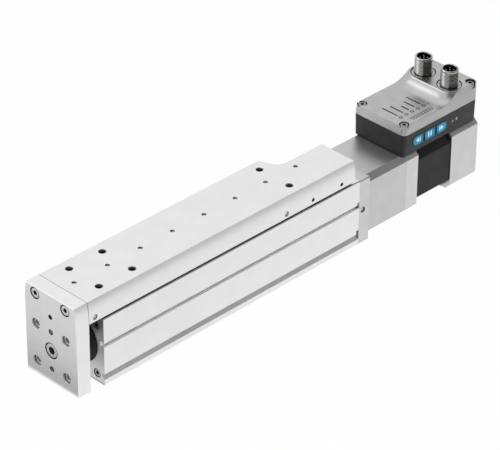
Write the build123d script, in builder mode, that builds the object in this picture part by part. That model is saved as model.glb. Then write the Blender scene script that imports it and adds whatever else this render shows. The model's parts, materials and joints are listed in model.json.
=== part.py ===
from build123d import *
import os

# Electric mini slide: a closed aluminium housing with a ball screw inside, a slide on a rail guide above it,
# an end plate that joins slide and piston rod, and a stepper motor with its drive electronics at the back.
# X runs along the stroke, towards the motor. The slide moves out towards -X. The visible long side faces -Y.
# The origin lies in the middle of the housing's underside. All sizes are in millimetres.

# Stroke, drive axis and clearances
stroke = 100.0
drive_z = 25.0
cut_over = 1.0
running_gap = 0.3
rod_fit = 0.05
thread_gap = 0.05
seat_gap = 0.05

# Housing profile
housing_width = 44.8
housing_height = 48.1
housing_length = 221.4
housing_edge = 0.6
nut_bore = 29.0
front_cap_length = 6.0
end_cap_length = 9.3
end_cap_height = 47.5
cap_screw_inset = 6.6
cap_screw_low = 6.1
cap_screw_high = 40.9

# Sensor slot and mounting groove, both along the housing's sides
sensor_slot_low = 27.65
sensor_slot_mouth = 2.6
sensor_slot_lip = 1.2
sensor_slot_width = 4.4
sensor_slot_depth = 3.2
groove_low = 4.1
groove_high = 8.2
groove_depth = 2.6
relief_width = 2.0
relief_height = 4.4
lube_hole_x = 3.5
lube_hole_depth = 8.0
lube_plug_sink = 1.0

# Slide and end plate
slide_width = 45.0
slide_top = 64.7
slide_side = 14.9
slide_length = 227.9
shoulder_drop = 11.0
shoulder_inset = 1.4
plate_thickness = 10.5
plate_bottom = 1.7
plate_gap = 11.4
plate_edge = 0.4
cutaway_length = 43.6
cutaway_slant = 5.7
cutaway_side = 7.15
cutaway_fillet = 8.5

# Hole patterns of the slide and the end plate
rail_hole_count = 8
rail_hole_first = 9.0
rail_hole_pitch = 26.8
table_hole_offset = 7.85
table_hole_steps = (0, 1, 6)
table_hole_y = 13.1
table_hole_depth = 12.0
m5_core = 4.2
m5_lead = 0.45
plate_hole_y = 13.2
plate_hole_z = 13.4
plate_screw_z = 60.1
sleeve_hole = 7.0
sleeve_depth = 1.6
dowel_hole = 4.0
dowel_depth = 6.0
small_hole = 3.3
small_hole_z = 49.2
plug_z = 52.9
plug_diameter = 3.6
plug_depth = 4.0
plug_sink = 0.8
plug_places = (5.0, 166.1)
pin_diameter = 2.6
pin_places = (189.7, 215.7)
foot_hole_y = 10.0
foot_hole_pitch = 40.0
foot_hole_end = 28.0
foot_hole_depth = 9.0

# Rail guide, one rail under the slide and two carriages on the housing
rail_width = 9.0
rail_height = 6.0
rail_margin = 3.0
rail_groove = 2.4
ball_row_gap = 0.45
rail_floor_gap = 0.4
guide_height = 10.0
guide_seat_depth = 1.1
carriage_width = 20.0
carriage_mouth = 2.0
carriage_body = 26.0
carriage_seal = 3.5
carriage_places = (26.0, 80.0)
carriage_hole_x = 15.0
carriage_hole_y = 15.0
guide_channel_gap = 0.6

# Drive: spindle, nut, rod, bearings and coupling
spindle_diameter = 10.0
spindle_overrun = 23.7
nut_length = 34.0
nut_diameter = 24.0
nut_neck = 16.0
nut_neck_length = 8.0
nut_travel_gap = 5.0
slipper_length = 12.0
slipper_fit = 0.1
magnet_length = 5.0
magnet_gap = 0.5
rod_diameter = 20.0
rod_bore = 13.0
rod_plug = 22.0
wiper_diameter = 32.6
wiper_thickness = 3.6
wiper_recess = 3.0
bush_wall = 2.0
spigot_length = 14.0
bearing_spigot = 8.0
buffer_length = 3.0
buffer_outer = 28.0
buffer_gap = 0.5
bearing_outer = 22.0
bearing_bore = 8.0
bearing_width = 7.0
bearing_ring = 2.0
bearing_split = 0.2
cage_inset = 1.5
end_cap_bore = 15.0
retainer_length = 2.0
coupling_gap = 5.5
shaft_gap = 0.5
journal_diameter = 6.0
journal_length = 10.0
locknut_length = 4.0
locknut_diameter = 14.0
hub_gap = 2.5
hub_length = 11.0
spider_length = 6.0
jaw_count = 3
jaw_height = 5.0
claw_inner = 5.5
claw_inset = 0.3
claw_half_angle = 19.0
arm_half_angle = 8.0
spider_play = 0.3
spider_overlap = 1.0
spider_bore = 7.0

# Motor with its bracket
motor_step = 0.1
motor_chamfer = 3.8
bracket_length = 35.3
bracket_wall = 0.55
bracket_floor_hole = 6.0
bracket_floor = 3.0
bell_length = 11.0
stator_step = 0.6
stator_chamfer = 7.6
stator_length = 32.5
rear_length = 25.6
motor_screw_inset = 6.8
bracket_screw_inset = 3.7
rotor_diameter = 26.0
rotor_gap = 0.4
shaft_diameter = 5.0
motor_bearing_outer = 16.0
motor_bearing_width = 5.0
pilot_length = 1.5
encoder_depth = 12.0
encoder_chamber = 22.0
encoder_magnet_diameter = 6.0
encoder_magnet_length = 2.5
shaft_tail = 4.0
shaft_hole = 7.0
bell_seat_depth = 8.0
rotor_end_gap = 1.0

# Electronics housing on top of the motor
box_shift = 0.5
box_front = 32.2
box_length = 71.1
box_bottom_width = 43.4
box_flare = 0.5
box_base_height = 15.4
box_corner = 3.0
box_wall = 2.2
cover_low = 6.6
cover_high = 12.8
cover_draft = 5.0
cover_sweep_length = 10.0
cover_lip = 0.6
cover_screw_inset = 3.8
deck_rim = 9.7
cover_screw_sink = 0.4
deck_screw_sink = 1.0
gasket_width = 1.2
gasket_height = 1.0
gasket_eye = 4.2
board_thickness = 1.6
board_lift = 3.0
board_gap = 0.6
board_post = 4.0
board_post_inset = 2.5
chip_size = 10.0
chip_height = 1.4
capacitor_x = 16.0
capacitor_diameter = 8.0
capacitor_height = 8.0
post_diameter = 4.8
column_diameter = 5.8
screw_recess = 6.6
key_width = 9.6
key_height = 6.8
key_pitch = 11.4
key_first = 13.6
key_rise = 7.7
key_travel = 0.4
key_proud = 0.6
key_play = 0.25
key_round = 3.0
key_tight = 0.5
key_flange = 0.6
key_flange_depth = 1.0
key_flange_gap = 0.1
key_pad_gap = 0.1
pad_thickness = 1.2
key_board_thickness = 1.0
plug_side = 10.3
plug_inset = 16.5
plug_thread = 12.0
plug_height = 12.1
plug_socket = 9.2
plug_socket_depth = 8.6
plug_flange = 16.2
plug_flange_height = 0.5
plug_pocket = 17.0
plug_pocket_depth = 0.8
plug_shank = 11.0
plug_shank_end = 1.0
plug_nut_size = 12.4
plug_nut_height = 3.0
plug_edge = 0.4
contact_diameter = 1.0
contact_count = 4
contact_tail = 2.5
contact_spread = 5.0
contact_rise = 7.4

# Screw sizes: thread, head diameter, head height and key size
m3 = (3.0, 5.5, 3.0, 2.5)
m4 = (4.0, 7.0, 4.0, 3.0)
m6 = (6.0, 10.0, 6.0, 5.0)

# Play, sinks and thread lengths that holes and screws share
screw_play = 0.15
head_play = 0.3
plate_head_play = 0.5
head_sink = 0.3
head_edge = 0.3
screw_end_gap = 0.5
plate_screw_length = 14.0
rod_screw_length = 15.0
rail_screw_length = 6.5
cap_screw_length = 14.0
carriage_thread = 3.4
carriage_screw_grip = 5.0
bracket_thread = 3.8
motor_thread = 8.0
post_thread = 7.0

# Widths and reaches that follow the housing
motor_size = housing_width - 2 * motor_step
stator_size = motor_size - 2 * stator_step
motor_screw_y = motor_size / 2 - motor_screw_inset
bracket_screw_reach = motor_size / 2 - bracket_screw_inset
bracket_bore = 2 * (bracket_screw_reach - m3[1] / 2 - head_play - bracket_wall)
bracket_opening = bracket_bore - bracket_floor_hole
hub_diameter = bracket_bore - 2 * hub_gap
cap_screw_y = housing_width / 2 - cap_screw_inset

# Places along X that the pieces share
housing_front = -housing_length / 2
housing_rear = housing_length / 2
profile_front = housing_front + front_cap_length
end_cap_rear = housing_rear + end_cap_length
plate_back = housing_front - plate_gap
plate_front = plate_back - plate_thickness
slide_rear = plate_back + slide_length
bracket_rear = end_cap_rear + bracket_length
bell_rear = bracket_rear + bell_length
stator_rear = bell_rear + stator_length
motor_rear = stator_rear + rear_length
box_x = end_cap_rear + box_front
box_middle_x = box_x + box_length / 2

# Heights that the pieces share
slide_bottom = slide_top - slide_side
carriage_seat = housing_height - guide_seat_depth
rail_seat = carriage_seat + guide_height
rail_low = rail_seat - rail_height
carriage_top = rail_seat - carriage_mouth
motor_top = drive_z + motor_size / 2
box_seam = motor_top + box_base_height
box_low_top = box_seam + cover_low
box_deck = box_seam + cover_high
key_z = motor_top + key_rise

# Places along the drive axis
nut_rear = housing_rear - bearing_spigot - nut_travel_gap
nut_front = nut_rear - nut_length
spindle_tip = nut_front - stroke - spindle_overrun
bearing_front = end_cap_rear - retainer_length - 2 * bearing_width
coupling_front = end_cap_rear + coupling_gap
coupling_rear = coupling_front + 2 * hub_length + spider_length
shaft_front = coupling_rear - hub_length + shaft_gap

on_end = (Align.CENTER, Align.CENTER, Align.MIN)
os.makedirs("parts", exist_ok=True)


def towards_motor(x, y=0.0, z=drive_z):
    """Work plane that faces +X: its own x runs along Y and its own y runs along Z."""
    return Plane(origin=(x, y, z), x_dir=(0, 1, 0), z_dir=(1, 0, 0))


def towards_front(x, y=0.0, z=drive_z):
    """Work plane that faces -X, for holes and screws that enter from the front."""
    return Plane(origin=(x, y, z), x_dir=(0, -1, 0), z_dir=(-1, 0, 0))


def towards_near(x, y, z):
    """Work plane that faces -Y, the visible long side: its own x runs along X and its own y along Z."""
    return Plane(origin=(x, y, z), x_dir=(1, 0, 0), z_dir=(0, -1, 0))


def downwards(x, y, z):
    """Work plane that faces -Z, for holes and screws that enter from below."""
    return Plane(origin=(x, y, z), x_dir=(1, 0, 0), z_dir=(0, 0, -1))


def upwards(x, y, z):
    """Work plane that faces +Z, for holes and screws that enter from above."""
    return Plane(origin=(x, y, z), x_dir=(1, 0, 0), z_dir=(0, 0, 1))


def shouldered_outline(x, bottom):
    """Front outline of slide and end plate: straight sides, arched shoulders and a flat top."""
    half = slide_width / 2
    with BuildSketch(Plane.YZ.offset(x)) as outline:
        with BuildLine():
            side = Line((half, bottom), (half, slide_top - shoulder_drop))
            shoulder = TangentArc(side @ 1, (half - shoulder_inset, slide_top), tangent=(0, 1))
            Line(shoulder @ 1, (0, slide_top))
            Line((0, bottom), side @ 0)
            mirror(about=Plane.YZ)
        make_face()
    return outline.sketch


def motor_outline(x, size, corner):
    """Square with four equal corner chamfers, centred on the drive axis."""
    with BuildSketch(towards_motor(x)) as outline:
        Rectangle(size, size)
        chamfer(outline.vertices(), corner)
    return outline.sketch


def housing_outline(x, height):
    """Plain cross-section of the housing and its caps."""
    with BuildSketch(Plane.YZ.offset(x)) as outline:
        with Locations((0, height / 2)):
            Rectangle(housing_width, height)
        chamfer(outline.vertices(), housing_edge)
    return outline.sketch


def side_slots(x):
    """Outlines of the sensor slot and the mounting groove in both sides of the housing."""
    half = housing_width / 2
    slot_middle = sensor_slot_low + sensor_slot_mouth / 2
    pocket = sensor_slot_depth - sensor_slot_lip
    with BuildSketch(Plane.YZ.offset(x)) as outline:
        with Locations((-half, slot_middle), (half, slot_middle)):
            Rectangle(2 * sensor_slot_depth, sensor_slot_mouth)
        with Locations((pocket / 2 + sensor_slot_lip - half, slot_middle)):
            Rectangle(pocket, sensor_slot_width)
        with Locations((half - sensor_slot_lip - pocket / 2, slot_middle)):
            Rectangle(pocket, sensor_slot_width)
        for side in (-1, 1):
            with BuildLine():
                Polyline(
                    (side * (half + cut_over), groove_low - cut_over),
                    (side * (half - groove_depth), groove_low + groove_depth),
                    (side * (half - groove_depth), groove_high),
                    (side * (half + cut_over), groove_high),
                    close=True,
                )
            make_face()
    return outline.sketch


def socket_screw(size, length):
    """Socket head screw with the underside of its head at the origin and its shank pointing down."""
    thread, head, head_height, key = size
    with BuildPart() as screw:
        Cylinder(head / 2, head_height, align=on_end)
        chamfer(screw.edges().group_by(Axis.Z)[-1], head_edge)
        with BuildSketch(Plane.XY.offset(head_height)):
            RegularPolygon(key / 2, 6, major_radius=False)
        extrude(amount=-head_height / 2, mode=Mode.SUBTRACT)
        with Locations((0, 0, -length)):
            Cylinder(thread / 2, length, align=on_end)
    return screw.part


def ring(x, outer, inner, length):
    """Round ring or sleeve on the drive axis, from x towards the motor."""
    with BuildPart(towards_motor(x)) as sleeve:
        Cylinder(outer / 2, length, align=on_end)
        Cylinder(inner / 2, length, align=on_end, mode=Mode.SUBTRACT)
    return sleeve.part


def hand_over(piece, name):
    """Label one finished piece and write it to its own file."""
    piece.part.label = name
    export_step(piece.part, f"parts/{name}.step")


# Rows of places that holes and screws share
rail_hole_x = [plate_back + rail_hole_first + step * rail_hole_pitch for step in range(rail_hole_count)]
table_hole_x = [rail_hole_x[step] + table_hole_offset for step in table_hole_steps]
plate_screw_places = [(side * plate_hole_y, plate_screw_z) for side in (-1, 1)]
plate_hole_places = [
    (y, drive_z + z) for y in (-plate_hole_y, plate_hole_y) for z in (-plate_hole_z, plate_hole_z)
]
cap_screw_places = [(y, z) for y in (-cap_screw_y, cap_screw_y) for z in (cap_screw_low, cap_screw_high)]
bracket_screw_places = [(0, drive_z + bracket_screw_reach), (0, drive_z - bracket_screw_reach)]
bracket_screw_places += [(-bracket_screw_reach, drive_z), (bracket_screw_reach, drive_z)]
motor_screw_places = [
    (y, drive_z + z) for y in (-motor_screw_y, motor_screw_y) for z in (-motor_screw_y, motor_screw_y)
]
carriage_x = [housing_front + place for place in carriage_places]
carriage_screw_places = [
    (x + dx, dy)
    for x in carriage_x
    for dx in (-carriage_hole_x / 2, carriage_hole_x / 2)
    for dy in (-carriage_hole_y / 2, carriage_hole_y / 2)
]
foot_hole_places = [
    (end * (housing_length / 2 - foot_hole_end - step), y)
    for end in (-1, 1)
    for step in (0, foot_hole_pitch)
    for y in (-foot_hole_y, foot_hole_y)
]

# End plate, joined to the slide by two screws and to the piston rod by one
with BuildPart() as end_plate:
    extrude(shouldered_outline(plate_front, plate_bottom), amount=plate_thickness)
    chamfer(end_plate.faces().sort_by(Axis.X)[0].edges(), plate_edge)
    with Locations(*[towards_front(plate_front, y, z) for y, z in plate_screw_places]):
        CounterBoreHole(m4[0] / 2 + screw_play, m4[1] / 2 + plate_head_play, m4[2] + head_sink)
    with Locations(towards_front(plate_front)):
        CounterBoreHole(m6[0] / 2 + screw_play, m6[1] / 2 + plate_head_play, m6[2] + head_sink)
    with Locations(*[towards_front(plate_front, y, z) for y, z in plate_hole_places]):
        CounterBoreHole(m5_core / 2, sleeve_hole / 2, sleeve_depth)
    with Locations(*[towards_front(plate_front, 0, drive_z + z) for z in (-plate_hole_z, plate_hole_z)]):
        Hole(dowel_hole / 2, dowel_depth)
    with Locations(towards_front(plate_front, 0, small_hole_z)):
        Hole(small_hole / 2)
hand_over(end_plate, "end_plate")

with BuildPart() as end_plate_screws:
    with Locations(*[towards_front(plate_front + m4[2] + head_sink, y, z) for y, z in plate_screw_places]):
        add(socket_screw(m4, plate_screw_length))
hand_over(end_plate_screws, "end_plate_screws")

with BuildPart() as rod_screw:
    with Locations(towards_front(plate_front + m6[2] + head_sink)):
        add(socket_screw(m6, rod_screw_length))
hand_over(rod_screw, "rod_screw")

# Slide: a thick aluminium table over a channel that takes the rail, cut away at the far rear
with BuildPart() as slide_body:
    extrude(shouldered_outline(plate_back, slide_bottom), amount=slide_length)
    with BuildSketch(Plane.YZ.offset(plate_back)):
        with Locations((0, (slide_bottom + rail_seat) / 2)):
            Rectangle(carriage_width + 2 * guide_channel_gap, rail_seat - slide_bottom)
    extrude(amount=slide_length, mode=Mode.SUBTRACT)
    with BuildSketch(Plane.XY.offset(slide_bottom)) as cutaway:
        with BuildLine():
            Polyline(
                (slide_rear - cutaway_length, slide_width / 2),
                (slide_rear - cutaway_length + cutaway_slant, cutaway_side),
                (slide_rear, cutaway_side),
                (slide_rear, slide_width / 2),
                close=True,
            )
        make_face()
        fillet(cutaway.vertices().group_by(Axis.Y)[0].sort_by(Axis.X)[0], cutaway_fillet)
    extrude(amount=slide_side, mode=Mode.SUBTRACT)
    with Locations(*[upwards(x, 0, slide_top) for x in rail_hole_x]):
        Hole(m3[0] / 2 + thread_gap, slide_top - rail_seat)
    with Locations(*[upwards(x, y, slide_top) for x in table_hole_x for y in (-table_hole_y, table_hole_y)]):
        CounterSinkHole(m5_core / 2, m5_core / 2 + m5_lead, table_hole_depth, 90)
    with Locations(*[towards_front(plate_back, y, z) for y, z in plate_screw_places]):
        Hole(m4[0] / 2 + thread_gap, plate_screw_length)
    with Locations(*[towards_near(plate_back + x, -slide_width / 2, plug_z) for x in plug_places]):
        Hole(plug_diameter / 2 + thread_gap, plug_depth)
    with Locations(*[towards_near(plate_back + x, -slide_width / 2, plug_z) for x in pin_places]):
        Hole(pin_diameter / 2, plug_depth)
hand_over(slide_body, "slide_body")

with BuildPart() as side_plugs:
    with Locations(*[towards_near(plate_back + x, plug_depth - slide_width / 2, plug_z) for x in plug_places]):
        Cylinder(plug_diameter / 2, plug_depth - plug_sink, align=on_end)
hand_over(side_plugs, "side_plugs")

# Rail guide: the rail hangs under the slide, and its ball grooves run in the two carriages
with BuildPart() as guide_rail:
    rail_length = slide_length - 2 * rail_margin
    with BuildSketch(Plane.YZ.offset(plate_back + rail_margin)):
        with Locations((0, rail_low + rail_height / 2)):
            Rectangle(rail_width, rail_height)
        with Locations(*[(side * rail_width / 2, rail_low + rail_height / 2) for side in (-1, 1)]):
            Circle(rail_groove / 2, mode=Mode.SUBTRACT)
    extrude(amount=rail_length)
    with Locations(*[downwards(x, 0, rail_low) for x in rail_hole_x]):
        CounterBoreHole(m3[0] / 2 + screw_play, m3[1] / 2 + head_play, m3[2] + head_sink)
hand_over(guide_rail, "guide_rail")

with BuildPart() as rail_screws:
    with Locations(*[downwards(x, 0, rail_low + m3[2] + head_sink) for x in rail_hole_x]):
        add(socket_screw(m3, rail_screw_length))
hand_over(rail_screws, "rail_screws")

rail_slot_width = rail_width + 2 * running_gap
ball_row = rail_groove - 2 * ball_row_gap
ball_row_places = [(side * rail_slot_width / 2, rail_low + rail_height / 2) for side in (-1, 1)]


# Two guide carriages: blocks around the rail, open at the top and threaded from below
with BuildPart() as guide_carriages:
    for x in carriage_x:
        with BuildSketch(Plane.YZ.offset(x - carriage_body / 2)):
            with Locations((0, (carriage_seat + carriage_top) / 2)):
                Rectangle(carriage_width, carriage_top - carriage_seat)
            with Locations((0, (rail_low - rail_floor_gap + carriage_top) / 2)):
                Rectangle(rail_slot_width, carriage_top - rail_low + rail_floor_gap, mode=Mode.SUBTRACT)
            with Locations(*ball_row_places):
                Circle(ball_row / 2 + seat_gap, mode=Mode.SUBTRACT)
    extrude(amount=carriage_body)
    with Locations(*[downwards(x, y, carriage_seat) for x, y in carriage_screw_places]):
        Hole(m3[0] / 2 + thread_gap, carriage_thread)
hand_over(guide_carriages, "guide_carriages")

# Rows of balls that carry the rail, drawn as one rod for each row
with BuildPart() as ball_rows:
    for x in carriage_x:
        with BuildSketch(Plane.YZ.offset(x - carriage_body / 2)):
            with Locations(*ball_row_places):
                Circle(ball_row / 2)
    extrude(amount=carriage_body)
hand_over(ball_rows, "ball_rows")

with BuildPart() as carriage_seals:
    for x in carriage_x:
        for start in (x - carriage_body / 2 - carriage_seal, x + carriage_body / 2):
            with BuildSketch(Plane.YZ.offset(start)):
                with Locations((0, (carriage_seat + carriage_top) / 2)):
                    Rectangle(carriage_width, carriage_top - carriage_seat)
                with Locations((0, (rail_low - rail_floor_gap + carriage_top) / 2)):
                    Rectangle(rail_slot_width, carriage_top - rail_low + rail_floor_gap, mode=Mode.SUBTRACT)
    extrude(amount=carriage_seal)
hand_over(carriage_seals, "carriage_seals")

# Carriage screws enter from the housing's bore, before the drive goes in
carriage_screw_seat = carriage_seat - carriage_screw_grip
with BuildPart() as carriage_screws:
    with Locations(*[downwards(x, y, carriage_screw_seat) for x, y in carriage_screw_places]):
        add(socket_screw(m3, carriage_screw_grip + carriage_thread))
hand_over(carriage_screws, "carriage_screws")

# Housing: an extrusion with the nut's bore, four screw channels, side slots and a shallow seat for the guide
with BuildPart() as housing_profile:
    profile_length = housing_rear - profile_front
    extrude(housing_outline(profile_front, housing_height), amount=profile_length)
    extrude(side_slots(profile_front), amount=profile_length, mode=Mode.SUBTRACT)
    with BuildSketch(Plane.YZ.offset(profile_front)):
        with Locations((0, drive_z)):
            Circle(nut_bore / 2)
        with Locations(*cap_screw_places):
            Circle(m3[0] / 2 + thread_gap)
        with Locations((0, (housing_height + carriage_seat) / 2)):
            Rectangle(carriage_width + 2 * guide_channel_gap, housing_height - carriage_seat)
    extrude(amount=profile_length, mode=Mode.SUBTRACT)
    with Locations(*[downwards(x, y, drive_z) for x, y in carriage_screw_places]):
        CounterBoreHole(
            m3[0] / 2 + screw_play,
            m3[1] / 2 + head_play,
            carriage_screw_seat - drive_z,
            carriage_seat - drive_z,
        )
    with Locations(*[downwards(x, y, 0) for x, y in foot_hole_places]):
        Hole(m5_core / 2, foot_hole_depth)
    for side in (-1, 1):
        relief_y = side * (housing_width - groove_depth) / 2
        for low in (sensor_slot_low, groove_low + groove_depth):
            with Locations((housing_rear - relief_width / 2, relief_y, low + relief_height / 2)):
                Box(relief_width, groove_depth, relief_height, mode=Mode.SUBTRACT)
hand_over(housing_profile, "housing_profile")

# Front cap with its rod bush, wiper and screws
with BuildPart() as front_cap:
    extrude(housing_outline(housing_front, housing_height), amount=front_cap_length)
    extrude(side_slots(housing_front), amount=front_cap_length, mode=Mode.SUBTRACT)
    with Locations(towards_motor(profile_front)):
        Cylinder(nut_bore / 2 - seat_gap, spigot_length, align=on_end)
    with Locations(towards_front(housing_front)):
        CounterBoreHole(rod_diameter / 2 + bush_wall, wiper_diameter / 2 + seat_gap, wiper_recess)
    with Locations(*[towards_front(housing_front, y, z) for y, z in cap_screw_places]):
        CounterBoreHole(m3[0] / 2 + screw_play, m3[1] / 2 + head_play, m3[2] + head_sink)
hand_over(front_cap, "front_cap")

with BuildPart() as front_cap_screws:
    with Locations(*[towards_front(housing_front + m3[2] + head_sink, y, z) for y, z in cap_screw_places]):
        add(socket_screw(m3, cap_screw_length))
hand_over(front_cap_screws, "front_cap_screws")

with BuildPart() as rod_wiper:
    add(ring(housing_front + wiper_recess - wiper_thickness, wiper_diameter, rod_diameter + 2 * running_gap,
             wiper_thickness))
hand_over(rod_wiper, "rod_wiper")

with BuildPart() as rod_bush:
    bush_outer = rod_diameter + 2 * bush_wall - 2 * seat_gap
    bush_length = profile_front + spigot_length - housing_front - wiper_recess
    add(ring(housing_front + wiper_recess, bush_outer, rod_diameter + 2 * rod_fit, bush_length))
hand_over(rod_bush, "rod_bush")

with BuildPart() as stop_buffers:
    add(ring(profile_front + spigot_length, buffer_outer, rod_diameter + 2 * buffer_gap, buffer_length))
    rear_buffer = housing_rear - bearing_spigot - buffer_length
    add(ring(rear_buffer, buffer_outer, rod_bore + 2 * buffer_gap, buffer_length))
hand_over(stop_buffers, "stop_buffers")

# Piston rod: a tube with a solid front end that takes the rod screw, and a wider rear end for the nut's neck
with BuildPart() as piston_rod:
    with Locations(towards_motor(plate_back)):
        Cylinder(rod_diameter / 2, nut_front - plate_back, align=on_end)
    with Locations(towards_front(plate_back)):
        Hole(m6[0] / 2 + thread_gap, rod_screw_length)
    with Locations(towards_motor(nut_front)):
        bore_depth = nut_front - plate_back - rod_plug
        CounterBoreHole(rod_bore / 2, nut_neck / 2 + thread_gap, nut_neck_length, bore_depth)
hand_over(piston_rod, "piston_rod")

with BuildPart() as ball_nut:
    with Locations(towards_motor(nut_front)):
        Cylinder(nut_diameter / 2, nut_length, align=on_end)
    with Locations(towards_motor(nut_front - nut_neck_length)):
        Cylinder(nut_neck / 2, nut_neck_length, align=on_end)
    with Locations(towards_motor(nut_rear)):
        Hole(spindle_diameter / 2 + running_gap)
hand_over(ball_nut, "ball_nut")

with BuildPart() as nut_slipper:
    slipper_start = nut_rear - slipper_length
    add(ring(slipper_start, nut_bore - 2 * slipper_fit, nut_diameter + 2 * seat_gap, slipper_length))
hand_over(nut_slipper, "nut_slipper")

with BuildPart() as magnet_ring:
    magnet_start = nut_rear - slipper_length - magnet_length
    add(ring(magnet_start, nut_bore - 2 * magnet_gap, nut_diameter + 2 * seat_gap, magnet_length))
hand_over(magnet_ring, "magnet_ring")

# Spindle with its bearings, lock nut and coupling
with BuildPart() as spindle:
    with Locations(towards_motor(spindle_tip)):
        Cylinder(spindle_diameter / 2, bearing_front - spindle_tip, align=on_end)
    with Locations(towards_motor(bearing_front)):
        Cylinder(bearing_bore / 2, 2 * bearing_width + locknut_length, align=on_end)
    with Locations(towards_motor(bearing_front + 2 * bearing_width + locknut_length)):
        Cylinder(journal_diameter / 2, journal_length, align=on_end)
hand_over(spindle, "spindle")

with BuildPart() as bearing_outer_rings:
    for x in (bearing_front, bearing_front + bearing_width):
        add(ring(x, bearing_outer, bearing_outer - 2 * bearing_ring, bearing_width - bearing_split))
hand_over(bearing_outer_rings, "bearing_outer_rings")

with BuildPart() as bearing_inner_rings:
    inner_ring_bore = bearing_bore + 2 * seat_gap
    for x in (bearing_front, bearing_front + bearing_width):
        add(ring(x, bearing_bore + 2 * bearing_ring, inner_ring_bore, bearing_width - bearing_split))
hand_over(bearing_inner_rings, "bearing_inner_rings")

with BuildPart() as ball_cages:
    for x in (bearing_front, bearing_front + bearing_width):
        cage_outer = bearing_outer - 2 * bearing_ring - 2 * running_gap
        cage_inner = bearing_bore + 2 * bearing_ring + 2 * running_gap
        add(ring(x + cage_inset, cage_outer, cage_inner, bearing_width - 2 * cage_inset))
hand_over(ball_cages, "ball_cages")

with BuildPart() as bearing_locknut:
    locknut_start = bearing_front + 2 * bearing_width
    add(ring(locknut_start, locknut_diameter, bearing_bore + 2 * seat_gap, locknut_length))
hand_over(bearing_locknut, "bearing_locknut")

with BuildPart() as bearing_retainer:
    retainer_bore = locknut_diameter + 2 * running_gap
    add(ring(end_cap_rear - retainer_length, bearing_outer, retainer_bore, retainer_length))
hand_over(bearing_retainer, "bearing_retainer")

# End cap, which holds the spindle bearings at the rear of the housing
with BuildPart() as end_cap:
    extrude(housing_outline(housing_rear, end_cap_height), amount=end_cap_length)
    with Locations(towards_motor(housing_rear - bearing_spigot)):
        Cylinder(nut_bore / 2 - seat_gap, bearing_spigot, align=on_end)
    with Locations(towards_motor(end_cap_rear)):
        CounterBoreHole(end_cap_bore / 2, bearing_outer / 2 + seat_gap, end_cap_rear - bearing_front)
    with Locations(*[towards_motor(end_cap_rear, y, z) for y, z in cap_screw_places]):
        CounterBoreHole(m3[0] / 2 + screw_play, m3[1] / 2 + head_play, m3[2] + head_sink)
    with Locations(*[towards_motor(end_cap_rear, y, z) for y, z in bracket_screw_places]):
        Hole(m3[0] / 2 + thread_gap, bracket_thread)
    with Locations(towards_near(housing_rear + lube_hole_x, -housing_width / 2, drive_z)):
        Hole(m4[0] / 2 + thread_gap, lube_hole_depth)
hand_over(end_cap, "end_cap")

with BuildPart() as end_cap_screws:
    with Locations(*[towards_motor(end_cap_rear - m3[2] - head_sink, y, z) for y, z in cap_screw_places]):
        add(socket_screw(m3, cap_screw_length))
hand_over(end_cap_screws, "end_cap_screws")

with BuildPart() as end_cap_plug:
    with Locations(towards_near(housing_rear + lube_hole_x, lube_hole_depth - housing_width / 2, drive_z)):
        Cylinder(m4[0] / 2, lube_hole_depth - lube_plug_sink, align=on_end)
hand_over(end_cap_plug, "end_cap_plug")


def jaws(turn, half_angle, inner, outer, count):
    """Wedges around the drive axis, for the claws of the coupling and the arms of its spider."""
    corners = [(inner, -half_angle), (outer, -half_angle), (outer, half_angle), (inner, half_angle)]
    points = [Vector(reach, 0).rotate(Axis.Z, angle) for reach, angle in corners]
    with BuildSketch() as wedges:
        with PolarLocations(0, count, start_angle=turn):
            Polygon(*[(point.X, point.Y) for point in points], align=None)
    return wedges.sketch


# Jaw coupling between spindle and motor shaft
claw_outer = hub_diameter / 2 - claw_inset
with BuildPart(towards_motor(coupling_front)) as coupling_hub_front:
    Cylinder(hub_diameter / 2, hub_length, align=on_end)
    front_claws = jaws(0, claw_half_angle, claw_inner, claw_outer, jaw_count)
    extrude(towards_motor(coupling_front + hub_length) * front_claws, amount=jaw_height)
    Cylinder(journal_diameter / 2 + seat_gap, hub_length, align=on_end, mode=Mode.SUBTRACT)
hand_over(coupling_hub_front, "coupling_hub_front")

with BuildPart() as coupling_spider:
    with BuildSketch(towards_motor(coupling_front + hub_length + spider_play)):
        Circle(claw_inner - spider_play)
        Circle(spider_bore / 2, mode=Mode.SUBTRACT)
        add(jaws(180 / (2 * jaw_count), arm_half_angle, claw_inner - spider_overlap, claw_outer, 2 * jaw_count))
    extrude(amount=spider_length - 2 * spider_play)
hand_over(coupling_spider, "coupling_spider")

with BuildPart(towards_motor(coupling_rear - hub_length)) as coupling_hub_rear:
    Cylinder(hub_diameter / 2, hub_length, align=on_end)
    rear_claws = jaws(180 / jaw_count, claw_half_angle, claw_inner, claw_outer, jaw_count)
    extrude(towards_motor(coupling_rear - hub_length) * rear_claws, amount=-jaw_height)
    Cylinder(shaft_diameter / 2 + seat_gap, hub_length, align=on_end, mode=Mode.SUBTRACT)
hand_over(coupling_hub_rear, "coupling_hub_rear")

# Motor bracket: a square tube around the coupling
with BuildPart() as motor_bracket:
    extrude(motor_outline(end_cap_rear, motor_size, motor_chamfer), amount=bracket_length)
    with Locations(towards_motor(bracket_rear)):
        CounterBoreHole(bracket_opening / 2, bracket_bore / 2, bracket_length - bracket_floor)
    with Locations(*[towards_motor(bracket_rear, y, z) for y, z in bracket_screw_places]):
        CounterBoreHole(m3[0] / 2 + screw_play, m3[1] / 2 + head_play, m3[2] + head_sink)
    with Locations(*[towards_motor(bracket_rear, y, z) for y, z in motor_screw_places]):
        Hole(m3[0] / 2 + thread_gap, motor_thread)
hand_over(motor_bracket, "motor_bracket")

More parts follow.
